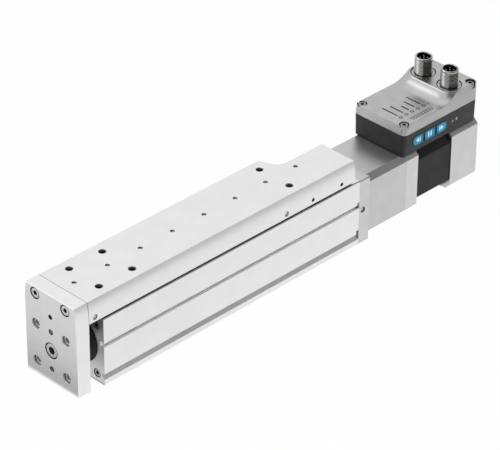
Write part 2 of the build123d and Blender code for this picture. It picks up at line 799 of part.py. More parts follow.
with BuildPart() as bracket_screws:
    with Locations(*[towards_motor(bracket_rear - m3[2] - head_sink, y, z) for y, z in bracket_screw_places]):
        add(socket_screw(m3, bracket_length - m3[2] - head_sink + bracket_thread - screw_end_gap))
hand_over(bracket_screws, "bracket_screws")

# Motor: front bell, lamination stack, rear housing and the rotor on its shaft
with BuildPart() as motor_front_bell:
    extrude(motor_outline(bracket_rear, motor_size, motor_chamfer), amount=bell_length)
    with Locations(towards_motor(bracket_rear - pilot_length)):
        Cylinder(bracket_bore / 2 - seat_gap, pilot_length, align=on_end)
    with Locations(towards_motor(bell_rear)):
        CounterBoreHole(shaft_hole / 2, motor_bearing_outer / 2 + seat_gap, bell_seat_depth)
    with Locations(*[towards_motor(bell_rear, y, z) for y, z in motor_screw_places]):
        Hole(m3[0] / 2 + screw_play)
hand_over(motor_front_bell, "motor_front_bell")

with BuildPart() as motor_stator:
    extrude(motor_outline(bell_rear, stator_size, stator_chamfer), amount=stator_length)
    with Locations(towards_motor(stator_rear)):
        Hole(rotor_diameter / 2 + rotor_gap)
    with Locations(*[towards_motor(stator_rear, y, z) for y, z in motor_screw_places]):
        Hole(m3[0] / 2 + screw_play)
hand_over(motor_stator, "motor_stator")

encoder_end = stator_rear + motor_bearing_width + encoder_depth
with BuildPart() as motor_rear_housing:
    extrude(motor_outline(stator_rear, motor_size, motor_chamfer), amount=rear_length)
    with Locations(towards_front(stator_rear)):
        Hole(motor_bearing_outer / 2 + seat_gap, motor_bearing_width)
    with Locations(towards_motor(encoder_end - encoder_depth)):
        Cylinder(encoder_chamber / 2, encoder_depth, align=on_end, mode=Mode.SUBTRACT)
    with Locations(*[towards_motor(motor_rear, y, z) for y, z in motor_screw_places]):
        CounterBoreHole(m3[0] / 2 + screw_play, m3[1] / 2 + head_play, m3[2] + head_sink)
hand_over(motor_rear_housing, "motor_rear_housing")

with BuildPart() as motor_screws:
    motor_screw_length = motor_rear - bracket_rear - m3[2] - head_sink + motor_thread - screw_end_gap
    with Locations(*[towards_motor(motor_rear - m3[2] - head_sink, y, z) for y, z in motor_screw_places]):
        add(socket_screw(m3, motor_screw_length))
hand_over(motor_screws, "motor_screws")

front_bearing_x = bell_rear - bell_seat_depth
with BuildPart() as motor_bearing_outer_rings:
    for x in (front_bearing_x, stator_rear):
        add(ring(x, motor_bearing_outer, motor_bearing_outer - 2 * bearing_ring, motor_bearing_width))
hand_over(motor_bearing_outer_rings, "motor_bearing_outer_rings")

with BuildPart() as motor_bearing_inner_rings:
    for x in (front_bearing_x, stator_rear):
        add(ring(x, shaft_diameter + 2 * bearing_ring, shaft_diameter + 2 * seat_gap, motor_bearing_width))
hand_over(motor_bearing_inner_rings, "motor_bearing_inner_rings")

shaft_rear = stator_rear + motor_bearing_width + shaft_tail
with BuildPart() as motor_shaft:
    with Locations(towards_motor(shaft_front)):
        Cylinder(shaft_diameter / 2, shaft_rear - shaft_front, align=on_end)
hand_over(motor_shaft, "motor_shaft")

with BuildPart() as motor_rotor:
    add(ring(bell_rear + rotor_end_gap, rotor_diameter, shaft_diameter + 2 * seat_gap,
             stator_length - 2 * rotor_end_gap))
hand_over(motor_rotor, "motor_rotor")

with BuildPart() as encoder_magnet:
    with Locations(towards_motor(shaft_rear)):
        Cylinder(encoder_magnet_diameter / 2, encoder_magnet_length, align=on_end)
hand_over(encoder_magnet, "encoder_magnet")

with BuildPart() as encoder_board:
    with Locations(towards_motor(encoder_end - board_thickness)):
        Cylinder(encoder_chamber / 2 - seat_gap, board_thickness, align=on_end)
hand_over(encoder_board, "encoder_board")

# Electronics housing: places inside it, from the keys at its near side to the far screw posts
box_middle = (box_middle_x, box_shift)
seam_width = box_bottom_width + 2 * box_flare
pocket_length = box_length - 2 * box_wall
pocket_width = box_bottom_width - 2 * box_wall
box_floor = motor_top + box_wall
box_near = box_shift - box_bottom_width / 2
box_rear = box_x + box_length
screw_x = (box_x + cover_screw_inset, box_rear - cover_screw_inset)
screw_reach = box_bottom_width / 2 + box_flare - cover_screw_inset
cover_screw_places = [(x, box_shift + side * screw_reach) for x in screw_x for side in (-1, 1)]
key_x = [box_x + key_first + step * key_pitch for step in range(3)]


def key_outline(step, y, grow):
    """Face of one key: the two outer keys have one round end, the middle one has four tight corners."""
    with BuildSketch(towards_near(key_x[step], y, key_z)) as outline:
        Rectangle(key_width + 2 * grow, key_height + 2 * grow)
        ends = outline.vertices().group_by(Axis.X)
        round_end = {0: ends[0], 1: [], 2: ends[-1]}[step]
        tight = [corner for corner in outline.vertices() if corner not in round_end]
        if round_end:
            fillet(round_end, key_round + grow)
        fillet([corner for corner in outline.vertices() if corner in tight], key_tight + grow)
    return outline.sketch


key_inside = box_near + box_wall + key_flange_gap
key_face = box_near - key_proud
pad_front = key_inside + key_flange_depth + key_travel + key_pad_gap
board_near = pad_front + pad_thickness + key_board_thickness + board_gap
board_far = box_shift + screw_reach - post_diameter / 2 - board_gap
board_width = board_far - board_near
board_length = box_length - 2 * (cover_screw_inset + post_diameter / 2 + board_gap)
board_middle = (box_middle_x, (board_near + board_far) / 2)
board_post_places = [
    (board_middle[0] + side_x * (board_length / 2 - board_post_inset),
     board_middle[1] + side_y * (board_width / 2 - board_post_inset))
    for side_x in (-1, 1)
    for side_y in (-1, 1)
]

# Flared plastic base with a rim for the gasket, screw posts and windows for three keys in its near side
with BuildPart() as electronics_base:
    with BuildSketch(Plane.XY.offset(motor_top)):
        with Locations(box_middle):
            RectangleRounded(box_length, box_bottom_width, box_corner)
    with BuildSketch(Plane.XY.offset(box_seam)):
        with Locations(box_middle):
            RectangleRounded(box_length, seam_width, box_corner)
    loft()
    with BuildSketch(Plane.XY.offset(box_floor)):
        with Locations(box_middle):
            RectangleRounded(pocket_length, pocket_width, box_corner - box_wall / 2)
    extrude(amount=box_seam - box_floor, mode=Mode.SUBTRACT)
    with BuildSketch(Plane.XY.offset(box_seam)):
        with Locations(box_middle):
            RectangleRounded(pocket_length + 2 * gasket_width, pocket_width + 2 * gasket_width, box_corner)
    extrude(amount=-gasket_height, mode=Mode.SUBTRACT)
    with Locations(*[upwards(x, y, box_floor) for x, y in cover_screw_places]):
        Cylinder(post_diameter / 2, box_seam - gasket_height - box_floor, align=on_end)
    with Locations(*[upwards(x, y, box_seam - gasket_height) for x, y in cover_screw_places]):
        Hole(m3[0] / 2 + thread_gap, post_thread)
    with Locations(*[upwards(x, y, box_floor) for x, y in board_post_places]):
        Cylinder(board_post / 2, board_lift, align=on_end)
    for step in range(3):
        window = key_outline(step, box_near + box_wall, key_play)
        extrude(window, amount=box_wall + box_flare, mode=Mode.SUBTRACT)
hand_over(electronics_base, "electronics_base")

for step, name in enumerate(("key_left", "key_middle", "key_right")):
    with BuildPart() as key:
        extrude(key_outline(step, key_inside, 0), amount=key_inside - key_face)
        extrude(key_outline(step, key_inside + key_flange_depth, key_flange), amount=key_flange_depth)
    hand_over(key, name)

# Rubber pad and small board that the keys press on
pad_middle_x = key_x[1]
pad_length = 2 * key_pitch + key_width + 2 * key_flange
with BuildPart() as key_pad:
    with Locations((pad_middle_x, pad_front + pad_thickness / 2, key_z)):
        Box(pad_length, pad_thickness, key_height)
hand_over(key_pad, "key_pad")

with BuildPart() as key_board:
    key_board_y = pad_front + pad_thickness + key_board_thickness / 2
    key_board_top = key_z + key_height / 2 + key_flange
    with Locations((pad_middle_x, key_board_y, (box_floor + key_board_top) / 2)):
        Box(pad_length, key_board_thickness, key_board_top - box_floor)
hand_over(key_board, "key_board")

# Circuit board with a chip and two tall capacitors soldered to it
board_z = box_floor + board_lift
with BuildPart() as circuit_board:
    with Locations((*board_middle, board_z)):
        Box(board_length, board_width, board_thickness, align=on_end)
    with Locations((*board_middle, board_z + board_thickness)):
        Box(chip_size, chip_size, chip_height, align=on_end)
    with Locations(*[upwards(board_middle[0] + capacitor_x, board_middle[1] + dy, board_z + board_thickness)
                     for dy in (-board_width / 4, board_width / 4)]):
        Cylinder(capacitor_diameter / 2, capacitor_height, align=on_end)
hand_over(circuit_board, "circuit_board")

# Cover: drafted sides, low at the front, sweeping up to the deck that carries the two plugs
plug_x = box_rear - plug_inset
plug_pitch = box_bottom_width - 2 * plug_side
plug_places_xy = [(plug_x, box_shift + side * plug_pitch / 2) for side in (-1, 1)]


def sweep_section(reach, drop, rim):
    """Section through the air above the cover, out from a plug's axis: past the rim and down the sweep."""
    with BuildSketch(reach) as section:
        with BuildLine():
            rim_edge = Line((rim, box_deck - drop), (rim + cover_lip, box_deck - cover_lip - drop))
            sweep_end = (rim + cover_lip + cover_sweep_length, box_low_top - drop)
            TangentArc(sweep_end, rim_edge @ 1, tangent=(-1, 0))
            Polyline(
                sweep_end,
                (box_length, box_low_top - drop),
                (box_length, box_deck + cut_over),
                (rim, box_deck + cut_over),
                rim_edge @ 0,
            )
        make_face()
    return section.sketch


def cover_outline(inset, stretch):
    """Rounded outline of the cover in the seam plane, drawn in by inset and longer at the rear by stretch."""
    with BuildSketch(Plane.XY.offset(box_seam)) as outline:
        with Locations((box_middle_x + stretch / 2, box_shift)):
            RectangleRounded(box_length - 2 * inset + stretch, seam_width - 2 * inset, box_corner - inset / 2)
    return outline.sketch


def cover_form(inset, drop):
    """Solid form of the cover, or of the hollow inside it: upright at the rear and drafted elsewhere."""
    with BuildPart() as form:
        extrude(cover_outline(inset, box_corner), amount=cover_high - drop, taper=cover_draft)
        extrude(cover_outline(inset, 0), amount=cover_high, mode=Mode.INTERSECT)
        for (x, y), turn in zip(plug_places_xy, (1, -1)):
            reach = Plane(origin=(x, y, 0), x_dir=(-1, 0, 0), z_dir=(0, 1, 0))
            above = sweep_section(reach, drop, deck_rim - inset / 2)
            extrude(above, amount=plug_pitch / 2 * turn, mode=Mode.SUBTRACT)
            revolve(above, axis=Axis((x, y, 0), (0, 0, turn)), revolution_arc=90, mode=Mode.SUBTRACT)
    return form.part


front_seat = box_low_top - cover_screw_sink - m3[2]
rear_seat = box_deck - deck_screw_sink - m3[2]
cover_screw_seats = [front_seat if x < box_middle_x else rear_seat for x, y in cover_screw_places]
with BuildPart() as electronics_cover:
    add(cover_form(0, 0))
    add(cover_form(box_wall, box_wall), mode=Mode.SUBTRACT)
    for (x, y), seat in zip(cover_screw_places, cover_screw_seats):
        with Locations((x, y, box_seam)):
            Cylinder(column_diameter / 2, seat - box_seam, align=on_end)
        with Locations(upwards(x, y, seat)):
            Hole(m3[0] / 2 + screw_play)
            Cylinder(screw_recess / 2, cover_high, align=on_end, mode=Mode.SUBTRACT)
    with Locations(*[upwards(x, y, box_deck) for x, y in plug_places_xy]):
        CounterBoreHole(plug_shank / 2 + seat_gap, plug_pocket / 2, plug_pocket_depth)
hand_over(electronics_cover, "electronics_cover")

with BuildPart() as cover_screws:
    for (x, y), seat in zip(cover_screw_places, cover_screw_seats):
        with Locations(upwards(x, y, seat)):
            add(socket_screw(m3, seat - box_seam + gasket_height + post_thread - screw_end_gap))
hand_over(cover_screws, "cover_screws")

with BuildPart() as cover_gasket:
    with BuildSketch(Plane.XY.offset(box_seam - gasket_height)):
        with Locations(box_middle):
            RectangleRounded(pocket_length + 2 * gasket_width - 2 * seat_gap,
                             pocket_width + 2 * gasket_width - 2 * seat_gap, box_corner)
            RectangleRounded(pocket_length, pocket_width, box_corner - box_wall / 2, mode=Mode.SUBTRACT)
        with Locations(*cover_screw_places):
            Circle(gasket_eye / 2)
        with Locations(box_middle):
            RectangleRounded(pocket_length + 2 * gasket_width - 2 * seat_gap,
                             pocket_width + 2 * gasket_width - 2 * seat_gap, box_corner, mode=Mode.INTERSECT)
        with Locations(*cover_screw_places):
            Circle(m3[0] / 2 + screw_play, mode=Mode.SUBTRACT)
    extrude(amount=gasket_height)
hand_over(cover_gasket, "cover_gasket")

# Two round plugs with outer thread, their insulators, contact pins and clamping nuts
shell_low = box_deck - box_wall - plug_nut_height - plug_shank_end
socket_floor = box_deck + plug_height - plug_socket_depth
with BuildPart() as plug_shells:
    with Locations(*[upwards(x, y, shell_low) for x, y in plug_places_xy]):
        Cylinder(plug_shank / 2, box_deck - shell_low, align=on_end)
    with Locations(*[upwards(x, y, box_deck - plug_pocket_depth) for x, y in plug_places_xy]):
        Cylinder(plug_flange / 2, plug_flange_height, align=on_end)
        Cylinder(plug_thread / 2, plug_height + plug_pocket_depth, align=on_end)
    chamfer(plug_shells.edges().group_by(Axis.Z)[-1], plug_edge)
    with Locations(*[upwards(x, y, box_deck + plug_height) for x, y in plug_places_xy]):
        Hole(plug_socket / 2)
hand_over(plug_shells, "plug_shells")

with BuildPart() as plug_insulators:
    with Locations(*[upwards(x, y, shell_low) for x, y in plug_places_xy]):
        Cylinder(plug_socket / 2 - seat_gap, socket_floor - shell_low, align=on_end)
    with Locations(*[upwards(x, y, socket_floor) for x, y in plug_places_xy]):
        with PolarLocations(contact_spread / 2, contact_count, start_angle=180 / contact_count):
            Hole(contact_diameter / 2 + seat_gap)
        Hole(contact_diameter / 2 + seat_gap)
hand_over(plug_insulators, "plug_insulators")

with BuildPart() as plug_contacts:
    contact_length = socket_floor + contact_rise - shell_low + contact_tail
    with Locations(*[upwards(x, y, shell_low - contact_tail) for x, y in plug_places_xy]):
        with PolarLocations(contact_spread / 2, contact_count, start_angle=180 / contact_count):
            Cylinder(contact_diameter / 2, contact_length, align=on_end)
        Cylinder(contact_diameter / 2, contact_length, align=on_end)
hand_over(plug_contacts, "plug_contacts")

with BuildPart() as plug_nuts:
    with BuildSketch(Plane.XY.offset(box_deck - box_wall)):
        with Locations(*plug_places_xy):
            RegularPolygon(plug_nut_size / 2, 6, major_radius=False)
            Circle(plug_shank / 2 + seat_gap, mode=Mode.SUBTRACT)
    extrude(amount=-plug_nut_height)
hand_over(plug_nuts, "plug_nuts")
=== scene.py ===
import json
import math

import bmesh
import bpy
from mathutils import Matrix, Vector


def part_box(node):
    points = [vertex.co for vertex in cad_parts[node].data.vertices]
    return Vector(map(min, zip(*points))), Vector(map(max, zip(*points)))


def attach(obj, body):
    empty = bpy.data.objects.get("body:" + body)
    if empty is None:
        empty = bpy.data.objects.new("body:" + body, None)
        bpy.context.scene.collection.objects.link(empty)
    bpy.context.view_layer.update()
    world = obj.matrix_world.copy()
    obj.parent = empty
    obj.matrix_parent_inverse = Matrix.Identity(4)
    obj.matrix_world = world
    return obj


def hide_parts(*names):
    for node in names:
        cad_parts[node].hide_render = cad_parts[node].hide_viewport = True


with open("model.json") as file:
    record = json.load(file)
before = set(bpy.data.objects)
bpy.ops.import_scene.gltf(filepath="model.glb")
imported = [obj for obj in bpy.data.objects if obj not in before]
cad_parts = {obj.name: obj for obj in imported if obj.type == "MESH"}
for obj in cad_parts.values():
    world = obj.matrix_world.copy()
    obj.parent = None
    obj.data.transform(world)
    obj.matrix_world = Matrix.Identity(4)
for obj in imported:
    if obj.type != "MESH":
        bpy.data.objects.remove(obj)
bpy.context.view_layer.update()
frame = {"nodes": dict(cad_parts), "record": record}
nodes = frame["nodes"]

MM = 0.001
MARK_HEIGHT = 0.02 * MM  # how far a printed mark stands out of its face, and reaches into it
# Painted shade: the least share of its colour that painted shade leaves a surface
DARKEST_PAINTED_SHADE = 0.03  # share of its colour that a surface keeps in the narrowest gap
PATCH_SCALE = 0.07  # scale of the noise for colour patches, as a share of the scale for the grain
LAMP_AIM = Vector((0.04, 0, 0.04))  # near the object's middle, in metres


def new_material(name):
    """A new node material, with its tree and its Principled shader."""
    mat = bpy.data.materials.new(name)
    mat.use_nodes = True
    tree = mat.node_tree
    return mat, tree, tree.nodes["Principled BSDF"]


def noise(tree, scale, stretch=(1, 1, 1), detail=3.0):
    """Noise in the object's frame, stretched along one or two axes for extruded and ground faces."""
    place = tree.nodes.new("ShaderNodeTexCoord")
    mapping = tree.nodes.new("ShaderNodeMapping")
    mapping.inputs["Scale"].default_value = stretch
    texture = tree.nodes.new("ShaderNodeTexNoise")
    texture.inputs["Scale"].default_value = scale
    texture.inputs["Detail"].default_value = detail
    texture.inputs["Roughness"].default_value = 0.55
    tree.links.new(place.outputs["Object"], mapping.inputs["Vector"])
    tree.links.new(mapping.outputs["Vector"], texture.inputs["Vector"])
    return texture.outputs["Fac"]


def ramp(tree, value, low, high):
    """Maps a noise value onto two colours, with a soft step between them."""
    node = tree.nodes.new("ShaderNodeValToRGB")
    for stop, position, colour in zip(node.color_ramp.elements, (0.35, 0.65), (low, high)):
        stop.position = position
        stop.color = (*colour, 1)
    tree.links.new(value, node.inputs["Fac"])
    return node.outputs["Color"]


def map_range(tree, value, start, end, low=0.0, high=1.0):
    """Maps a value that runs from start to end onto the range from low to high."""
    node = tree.nodes.new("ShaderNodeMapRange")
    for key, number in (("From Min", start), ("From Max", end), ("To Min", low), ("To Max", high)):
        node.inputs[key].default_value = number
    tree.links.new(value, node.inputs["Value"])
    return node.outputs["Result"]


def dimmed(tree, colour, share):
    """A colour times a share of it."""
    node = tree.nodes.new("ShaderNodeVectorMath")
    node.operation = "SCALE"
    tree.links.new(colour, node.inputs[0])
    tree.links.new(share, node.inputs["Scale"])
    return node.outputs["Vector"]


def painted_crevice_shade(tree, colour, reach, shut, open_at, alone):
    """Paints shade into a colour in gaps and recesses, from open_at, where it is full, down to shut.

    A piece that another one slides past is measured alone, so that it stays bright wherever the other one is.
    """
    near = tree.nodes.new("ShaderNodeAmbientOcclusion")
    near.samples = 8
    near.only_local = alone
    near.inputs["Distance"].default_value = reach
    return dimmed(tree, colour, map_range(tree, near.outputs["AO"], shut, open_at, DARKEST_PAINTED_SHADE))


def finish_normal(tree, shader, height, strength, distance, edge):
    """Bump from a height value, over edges that are rounded in the shading."""
    bump = tree.nodes.new("ShaderNodeBump")
    bump.inputs["Strength"].default_value = strength
    bump.inputs["Distance"].default_value = distance
    tree.links.new(height, bump.inputs["Height"])
    if edge:
        rounded = tree.nodes.new("ShaderNodeBevel")
        rounded.samples = 4
        rounded.inputs["Radius"].default_value = edge
        tree.links.new(rounded.outputs["Normal"], bump.inputs["Normal"])
    tree.links.new(bump.outputs["Normal"], shader.inputs["Normal"])


def surface(name, low, high, metal, rough, scale, stretch=(1, 1, 1), strength=0.25, distance=0.02 * MM,
            edge=0.3 * MM, specular=0.5, reach=2.5 * MM, shut=0.42, open_at=0.85, alone=False):
    """One finished surface: two close colours, painted shade in crevices, uneven roughness, fine bump, rounded edges.
    """
    mat, tree, shader = new_material(name)
    grain = noise(tree, scale, stretch)
    patches = noise(tree, scale * PATCH_SCALE, detail=2.0)
    colour = painted_crevice_shade(tree, ramp(tree, patches, low, high), reach, shut, open_at, alone)
    tree.links.new(colour, shader.inputs["Base Color"])
    tree.links.new(map_range(tree, grain, 0.3, 0.7, *rough), shader.inputs["Roughness"])
    shader.inputs["Metallic"].default_value = metal
    shader.inputs["Specular IOR Level"].default_value = specular
    finish_normal(tree, shader, grain, strength, distance, edge)
    return mat


def darken_edges(mat, start, end, share):
    """Darkens a material from start to end, both as parts of the piece's width away from its middle."""
    tree = mat.node_tree
    base_colour = tree.nodes["Principled BSDF"].inputs["Base Color"]
    inner = base_colour.links[0].from_socket
    place = tree.nodes.new("ShaderNodeTexCoord")
    centred = tree.nodes.new("ShaderNodeMapping")
    centred.inputs["Location"].default_value = (-0.5, 0, -0.5)
    centred.inputs["Scale"].default_value = (1, 0, 1)
    away = tree.nodes.new("ShaderNodeVectorMath")
    away.operation = "LENGTH"
    tree.links.new(place.outputs["Generated"], centred.inputs["Vector"])
    tree.links.new(centred.outputs["Vector"], away.inputs[0])
    shade = map_range(tree, away.outputs["Value"], start, end, 1.0, share)
    tree.links.new(dimmed(tree, inner, shade), base_colour)


# Every surface below gets painted shade in its gaps and recesses, out to its reach
# What groups of surfaces share. Drawn metal has its grain along the row
drawn = {"scale": 900, "stretch": (0.02, 1, 1), "strength": 0.20, "alone": True}
blasted = {"metal": 0.9, "rough": (0.30, 0.38), "scale": 1300, "strength": 0.22}
turned = {"metal": 1.0, "distance": 0.01 * MM, "edge": 0.2 * MM}
printed = {"metal": 0.0, "scale": 900, "edge": 0}

# Alloys
extruded = surface("extruded_alloy", (0.78, 0.782, 0.785), (0.805, 0.807, 0.81),
                   metal=0.9, rough=(0.30, 0.36), reach=0.6 * MM, **drawn)
# Painted light and shade on copies of the housing alloy: a darker top with deep painted shade near the slide, a paler
# upper slot and a darker lower groove
shaded_alloy = surface("shaded_alloy", (0.74, 0.742, 0.745), (0.765, 0.767, 0.77),
                       metal=1.0, rough=(0.30, 0.36), reach=6 * MM, shut=0.65, open_at=0.95, **drawn)
slot_lit_alloy = surface("slot_lit_alloy", (0.88, 0.882, 0.885), (0.90, 0.902, 0.905),
                     metal=0.2, rough=(0.45, 0.50), reach=0.4 * MM, **drawn)
groove_shade_alloy = surface("groove_shade_alloy", (0.50, 0.502, 0.505), (0.54, 0.542, 0.545),
                       metal=0.5, rough=(0.45, 0.50), reach=0.4 * MM, **drawn)
# Painted shade: a dark copy of the alloy for the walls of holes and screw seats
recess_shade_alloy = surface("recess_shade_alloy", (0.13, 0.13, 0.13), (0.17, 0.17, 0.17),
                     metal=0.6, rough=(0.45, 0.55), scale=900, reach=1.2 * MM)
milled = surface("milled_alloy", (0.785, 0.787, 0.79), (0.81, 0.812, 0.815), metal=0.9, rough=(0.28, 0.34),
                 scale=1400, stretch=(0.6, 1, 1), strength=0.18, reach=2 * MM, alone=True)
plate_alloy = surface("plate_alloy", (0.80, 0.802, 0.805), (0.825, 0.827, 0.83), metal=0.9,
                      rough=(0.30, 0.36), scale=1600, strength=0.18, reach=1.6 * MM, alone=True)
motor_alloy = surface("motor_alloy", (0.57, 0.57, 0.568), (0.605, 0.605, 0.603), **blasted)
bracket_alloy = surface("bracket_alloy", (0.53, 0.53, 0.535), (0.56, 0.56, 0.565), **blasted)
bell_alloy = surface("bell_alloy", (0.61, 0.61, 0.612), (0.645, 0.645, 0.647), **blasted)
cast_alloy = surface("cast_alloy", (0.43, 0.432, 0.435), (0.47, 0.472, 0.475),
                     metal=0.95, rough=(0.30, 0.37), scale=1500, strength=0.30, edge=0.5 * MM)

# Other metals
dull_steel = surface("dull_steel", (0.30, 0.30, 0.30), (0.36, 0.36, 0.36),
                     rough=(0.30, 0.38), scale=900, strength=0.12, **turned)
screw_steel = surface("screw_steel", (0.60, 0.60, 0.60), (0.70, 0.70, 0.69),
                      rough=(0.28, 0.38), scale=900, strength=0.12, **turned)
bearing_steel = surface("bearing_steel", (0.66, 0.66, 0.66), (0.72, 0.72, 0.72),
                        rough=(0.20, 0.28), scale=700, stretch=(0.05, 1, 1), strength=0.10, alone=True, **turned)
rod_chrome = surface("rod_chrome", (0.72, 0.72, 0.72), (0.76, 0.76, 0.76),
                     rough=(0.20, 0.26), scale=700, strength=0.05, alone=True, **turned)
nickel = surface("nickel", (0.40, 0.40, 0.395), (0.46, 0.46, 0.45), metal=1.0, rough=(0.16, 0.22),
                 scale=800, strength=0.03, distance=0.01 * MM, edge=0, reach=0.8 * MM)
bronze = surface("bush_bronze", (0.52, 0.38, 0.20), (0.60, 0.45, 0.25), metal=1.0, rough=(0.35, 0.45), scale=1500)
gold = surface("contact_gold", (0.26, 0.20, 0.10), (0.31, 0.24, 0.12),
               metal=1.0, rough=(0.32, 0.40), scale=900, edge=0, reach=9 * MM)
rotor_iron = surface("rotor_iron", (0.18, 0.18, 0.19), (0.24, 0.24, 0.25),
                     metal=0.7, rough=(0.40, 0.50), scale=1200, stretch=(6, 1, 1))
stator_black = surface("stator_black", (0.009, 0.009, 0.010), (0.015, 0.015, 0.016), metal=0.0, rough=(0.40, 0.52),
                       scale=1200, stretch=(6, 1, 1), strength=0.50, distance=0.04 * MM, edge=0.2 * MM, specular=0.22)

# Plastics and rubbers
black_plastic = surface("black_plastic", (0.014, 0.014, 0.015), (0.024, 0.023, 0.023), metal=0.0,
                        rough=(0.42, 0.55), scale=1800, strength=0.45, distance=0.04 * MM, specular=0.35)
# Black of the plug inserts, also used as painted shade on the slide's underside
black_insert_and_shade = surface("black_insert_and_shade", (0.003, 0.003, 0.003), (0.005, 0.005, 0.005),
                       metal=0.0, rough=(0.50, 0.60), scale=1800, specular=0.10)
black_rubber = surface("black_rubber", (0.012, 0.012, 0.012), (0.022, 0.022, 0.022),
                       metal=0.0, rough=(0.55, 0.70), scale=1500, edge=0.2 * MM, specular=0.35)
slipper_white = surface("slipper_white", (0.78, 0.77, 0.71), (0.84, 0.83, 0.77),
                        metal=0.0, rough=(0.35, 0.45), scale=900)
plug_grey = surface("plug_grey", (0.56, 0.56, 0.55), (0.64, 0.64, 0.63),
                    metal=0.0, rough=(0.40, 0.50), scale=1200, edge=0.2 * MM)
spider_red = surface("spider_red", (0.50, 0.04, 0.03), (0.58, 0.05, 0.04), metal=0.0, rough=(0.35, 0.45), scale=900)
board_green = surface("board_green", (0.02, 0.16, 0.07), (0.03, 0.20, 0.09),
                      metal=0.0, rough=(0.25, 0.35), scale=900, edge=0.1 * MM)
key_blue = surface("key_blue", (0.045, 0.37, 0.64), (0.060, 0.40, 0.68), metal=0.0,
                   rough=(0.36, 0.44), scale=1500, strength=0.15, distance=0.01 * MM, specular=0.2)
darken_edges(key_blue, 0.15, 0.50, 0.35)

# Prints
print_grey = surface("print_grey", (0.02, 0.02, 0.02), (0.03, 0.03, 0.03), rough=(0.45, 0.55), **printed)
print_pale = surface("print_pale", (0.66, 0.88, 0.95), (0.74, 0.93, 0.98), rough=(0.40, 0.50), **printed)
print_dim = surface("print_dim", (0.30, 0.32, 0.33), (0.36, 0.38, 0.39), rough=(0.40, 0.50), **printed)

by_slot = {
    "motor_alloy": motor_alloy,
    "cast_alloy": cast_alloy,
    "screw_steel": screw_steel,
    "bearing_steel": bearing_steel,
    "plain_steel": screw_steel,
    "hard_chrome": rod_chrome,
    "hub_alloy": milled,
    "black_plastic": black_plastic,
    "slipper_plastic": slipper_white,
    "grey_plastic": plug_grey,
    "black_rubber": black_rubber,
    "spider_rubber": spider_red,
    "bush_bronze": bronze,
    "contact_gold": gold,
    "stator_iron": stator_black,
    "rotor_iron": rotor_iron,
    "magnet": rotor_iron,
    "key_blue": key_blue,
    "board_green": board_green,
    "nickel": nickel,
}
by_node = {
    "housing_profile": extruded,
    "front_cap": extruded,
    "end_cap": motor_alloy,
    "motor_bracket": bracket_alloy,
    "motor_front_bell": bell_alloy,
    "slide_body": milled,
    "end_plate": plate_alloy,
    "plug_insulators": black_insert_and_shade,
    "cover_screws": dull_steel,
    "front_cap_screws": dull_steel,
}
slots = {part["node"]: part["material_slot"] for part in frame["record"]["subparts"]}
for name, obj in nodes.items():
    finish = by_node.get(name) or by_slot[slots[name]]
    obj.data.materials.clear()
    obj.data.materials.append(finish)


def paint(name, mat, chosen):
    """Gives a further material to those faces of a CAD node that a test chooses."""
    mesh = nodes[name].data
    mesh.materials.append(mat)
    index = len(mesh.materials) - 1
    for face in mesh.polygons:
        if chosen(face):
            face.material_index = index


def paint_housing(name):
    """Paints shade onto a housing node's top, which lies in the slide's shade, a lighter tone into the upper slot and
    shade into the lower groove, in both of its sides.
    """
    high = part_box(name)[1]
    roof = high[2] - 1.5 * MM
    slot_floor, slot_mouth = high[1] - 4 * MM, high[1] - 0.1 * MM
    lowest, between, highest = 3 * MM, 20 * MM, 35 * MM

    def in_slot(face):
        return slot_floor < abs(face.center.y) < slot_mouth and lowest < face.center.z < highest

    paint(name, shaded_alloy, lambda face: face.normal.z > 0.6 and face.center.z > roof)
    paint(name, slot_lit_alloy, lambda face: in_slot(face) and face.center.z > between)
    paint(name, groove_shade_alloy, lambda face: in_slot(face) and face.center.z <= between)


paint_housing("housing_profile")
paint_housing("front_cap")

# Painted shade: the front cap's face, which lies behind the end plate away from the light, takes the darker motor
# alloy
paint("front_cap", motor_alloy, lambda face: face.normal.x < -0.9)


def add_mesh(name, mesh, mat):
    """Puts a mesh into the scene as an object with one material."""
    obj = bpy.data.objects.new(name, mesh)
    bpy.context.collection.objects.link(obj)
    mesh.materials.append(mat)
    return obj


def lathe(name, profile, centres, mat, segments=64):
    """Turns a closed profile of (radius, height) points around upright axes at the given centres."""
    mesh = bpy.data.meshes.new(name)
    bm = bmesh.new()
    for cx, cy in centres:
        rings = []
        for step in range(segments):
            angle = 2 * math.pi * step / segments
            rings.append([
                bm.verts.new((cx + r * math.cos(angle), cy + r * math.sin(angle), z)) for r, z in profile
            ])
        for step in range(segments):
            here, there = rings[step], rings[(step + 1) % segments]
            for k in range(len(profile)):
                nxt = (k + 1) % len(profile)
                bm.faces.new((here[k], there[k], there[nxt], here[nxt]))
    bmesh.ops.remove_doubles(bm, verts=bm.verts, dist=0.0001 * MM)
    bmesh.ops.recalc_face_normals(bm, faces=bm.faces)
    bm.to_mesh(mesh)
    bm.free()
    for poly in mesh.polygons:
        poly.use_smooth = True
    mesh.set_sharp_from_angle(angle=math.radians(35))
    return add_mesh(name, mesh, mat)


def prisms(name, outlines, place, mat, body):
    """Thin raised shapes: each outline of (a, b) points is laid on a face, where place gives their spot."""
    mesh = bpy.data.meshes.new(name)
    bm = bmesh.new()
    for outline in outlines:
        under = [bm.verts.new(place(a, b, -MARK_HEIGHT)) for a, b in outline]
        over = [bm.verts.new(place(a, b, MARK_HEIGHT)) for a, b in outline]
        bm.faces.new(under)
        bm.faces.new(over)
        for k in range(len(outline)):
            nxt = (k + 1) % len(outline)
            bm.faces.new((under[k], under[nxt], over[nxt], over[k]))
    bmesh.ops.recalc_face_normals(bm, faces=bm.faces)
    bm.to_mesh(mesh)
    bm.free()
    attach(add_mesh(name, mesh, mat), body)


def bar(a, b, wide, high):
    """Outline of an upright rectangle around a middle."""
    return [(a - wide / 2, b - high / 2), (a + wide / 2, b - high / 2), (a + wide / 2, b + high / 2),
            (a - wide / 2, b + high / 2)]


